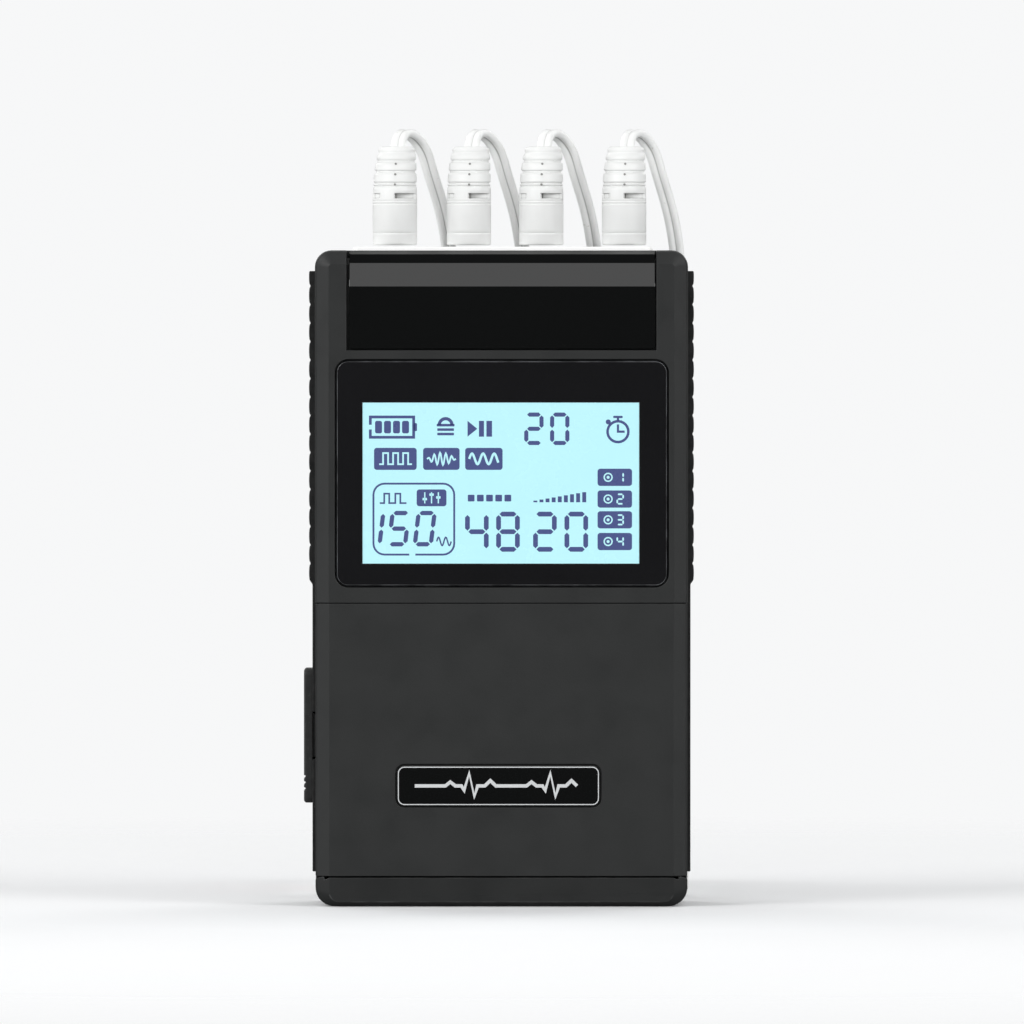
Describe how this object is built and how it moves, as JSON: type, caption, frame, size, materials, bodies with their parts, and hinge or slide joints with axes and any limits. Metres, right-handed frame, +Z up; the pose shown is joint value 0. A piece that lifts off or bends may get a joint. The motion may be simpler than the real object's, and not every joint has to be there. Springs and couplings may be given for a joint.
{
  "type": "tens unit",
  "caption": "Hand-held muscle and nerve stimulator with a screen, a flip door over its keys, a belt clip and plugged-in lead wires.",
  "frame": {"origin": "middle of the flat underside of the bottom cap", "axes": "+Z up the unit towards its sockets, -Y out of the screen, +X to the right of a person reading the screen"},
  "size_m": [0.0704, 0.1098, 0.1404],
  "materials": {
    "casing": "fine satin texture, dark grey",
    "gloss_panel": "polished black",
    "rubber": "matte black rubber",
    "white_plastic": "satin white",
    "lead_jacket": "soft white vinyl",
    "red_jacket": "soft red vinyl",
    "pin_metal": "bright plated",
    "screw_steel": "zinc plated",
    "lcd": "back-lit liquid crystal glass",
    "circuit_board": "green solder mask",
    "battery": "blue heat-shrink sleeve",
    "coil": "enamelled copper wire",
    "keys": "light grey silicone rubber",
    "power_key": "red silicone rubber",
    "dark_plastic": "black moulded plastic"
  },
  "bodies": {
    "root": {"front_shell": "casing", "rear_shell": "casing", "bottom_cap": "casing", "battery_cover": "casing", "top_panel": "gloss_panel", "lcd_lens": "gloss_panel", "socket_bar": "white_plastic", "side_grip_left": "rubber", "side_grip_right": "rubber", "lcd_module": "lcd", "keypad_mat": "keys", "main_board": "circuit_board", "battery_pack": "battery", "boost_coil": "coil", "buzzer": "dark_plastic", "charge_port": "pin_metal", "case_screw_1": "screw_steel", "output_jack_1": "dark_plastic", "lead_hank_1": "lead_jacket", "lead_tip_red_1": "red_jacket", "lead_tip_white_1": "lead_jacket", "case_screw_2": "screw_steel", "output_jack_2": "dark_plastic", "lead_hank_2": "lead_jacket", "lead_tip_red_2": "red_jacket", "lead_tip_white_2": "lead_jacket", "case_screw_3": "screw_steel", "output_jack_3": "dark_plastic", "lead_hank_3": "lead_jacket", "lead_tip_red_3": "red_jacket", "lead_tip_white_3": "lead_jacket", "case_screw_4": "screw_steel", "output_jack_4": "dark_plastic", "lead_hank_4": "lead_jacket", "lead_tip_red_4": "red_jacket", "lead_tip_white_4": "lead_jacket"},
    "door": {"flip_door": "casing", "badge": "gloss_panel"},
    "belt_clip": {"belt_clip": "dark_plastic"},
    "port_cover": {"port_cover": "rubber"},
    "key_power": {"key_power": "power_key"},
    "key_mode": {"key_mode": "keys"},
    "key_timer": {"key_timer": "keys"},
    "key_pause": {"key_pause": "keys"},
    "rocker_ch1": {"rocker_ch1": "keys"},
    "rocker_ch2": {"rocker_ch2": "keys"},
    "rocker_ch3": {"rocker_ch3": "keys"},
    "rocker_ch4": {"rocker_ch4": "keys"},
    "plug_1": {"plug_1": "lead_jacket", "plug_pin_1": "pin_metal", "lead_1": "lead_jacket"},
    "plug_2": {"plug_2": "lead_jacket", "plug_pin_2": "pin_metal", "lead_2": "lead_jacket"},
    "plug_3": {"plug_3": "lead_jacket", "plug_pin_3": "pin_metal", "lead_3": "lead_jacket"},
    "plug_4": {"plug_4": "lead_jacket", "plug_pin_4": "pin_metal", "lead_4": "lead_jacket"}
  },
  "joints": [
    {"name": "door_hinge", "type": "hinge", "parent": "root", "child": "door", "pos_m": [0, -0.011, 0.0086], "axis": [1, 0, 0], "range_deg": [0, 90]},
    {"name": "clip_spring", "type": "hinge", "parent": "root", "child": "belt_clip", "pos_m": [0, 0.017, 0.0955], "axis": [1, 0, 0], "range_deg": [0, 7], "stiffness_Nm_per_rad": 1},
    {"name": "port_cover_hinge", "type": "hinge", "parent": "root", "child": "port_cover", "pos_m": [-0.03445, 0, 0.0183], "axis": [0, -1, 0], "range_deg": [0, 95]},
    {"name": "power_press", "type": "slide", "parent": "root", "child": "key_power", "axis": [0, 1, 0], "range_m": [0, 0.0008], "stiffness_N_per_m": 800},
    {"name": "mode_press", "type": "slide", "parent": "root", "child": "key_mode", "axis": [0, 1, 0], "range_m": [0, 0.0008], "stiffness_N_per_m": 800},
    {"name": "timer_press", "type": "slide", "parent": "root", "child": "key_timer", "axis": [0, 1, 0], "range_m": [0, 0.0008], "stiffness_N_per_m": 800},
    {"name": "pause_press", "type": "slide", "parent": "root", "child": "key_pause", "axis": [0, 1, 0], "range_m": [0, 0.0008], "stiffness_N_per_m": 800},
    {"name": "rocker_ch1_tilt", "type": "hinge", "parent": "root", "child": "rocker_ch1", "pos_m": [-0.0225, -0.0086, 0.026], "axis": [1, 0, 0], "range_deg": [-4, 4], "stiffness_Nm_per_rad": 0.17},
    {"name": "rocker_ch2_tilt", "type": "hinge", "parent": "root", "child": "rocker_ch2", "pos_m": [-0.0075, -0.0086, 0.026], "axis": [1, 0, 0], "range_deg": [-4, 4], "stiffness_Nm_per_rad": 0.17},
    {"name": "rocker_ch3_tilt", "type": "hinge", "parent": "root", "child": "rocker_ch3", "pos_m": [0.0075, -0.0086, 0.026], "axis": [1, 0, 0], "range_deg": [-4, 4], "stiffness_Nm_per_rad": 0.17},
    {"name": "rocker_ch4_tilt", "type": "hinge", "parent": "root", "child": "rocker_ch4", "pos_m": [0.0225, -0.0086, 0.026], "axis": [1, 0, 0], "range_deg": [-4, 4], "stiffness_Nm_per_rad": 0.17},
    {"name": "plug_1_pull", "type": "slide", "parent": "root", "child": "plug_1", "axis": [0, 0, 1], "range_m": [0, 0.014]},
    {"name": "plug_2_pull", "type": "slide", "parent": "root", "child": "plug_2", "axis": [0, 0, 1], "range_m": [0, 0.014]},
    {"name": "plug_3_pull", "type": "slide", "parent": "root", "child": "plug_3", "axis": [0, 0, 1], "range_m": [0, 0.014]},
    {"name": "plug_4_pull", "type": "slide", "parent": "root", "child": "plug_4", "axis": [0, 0, 1], "range_m": [0, 0.014]}
  ]
}
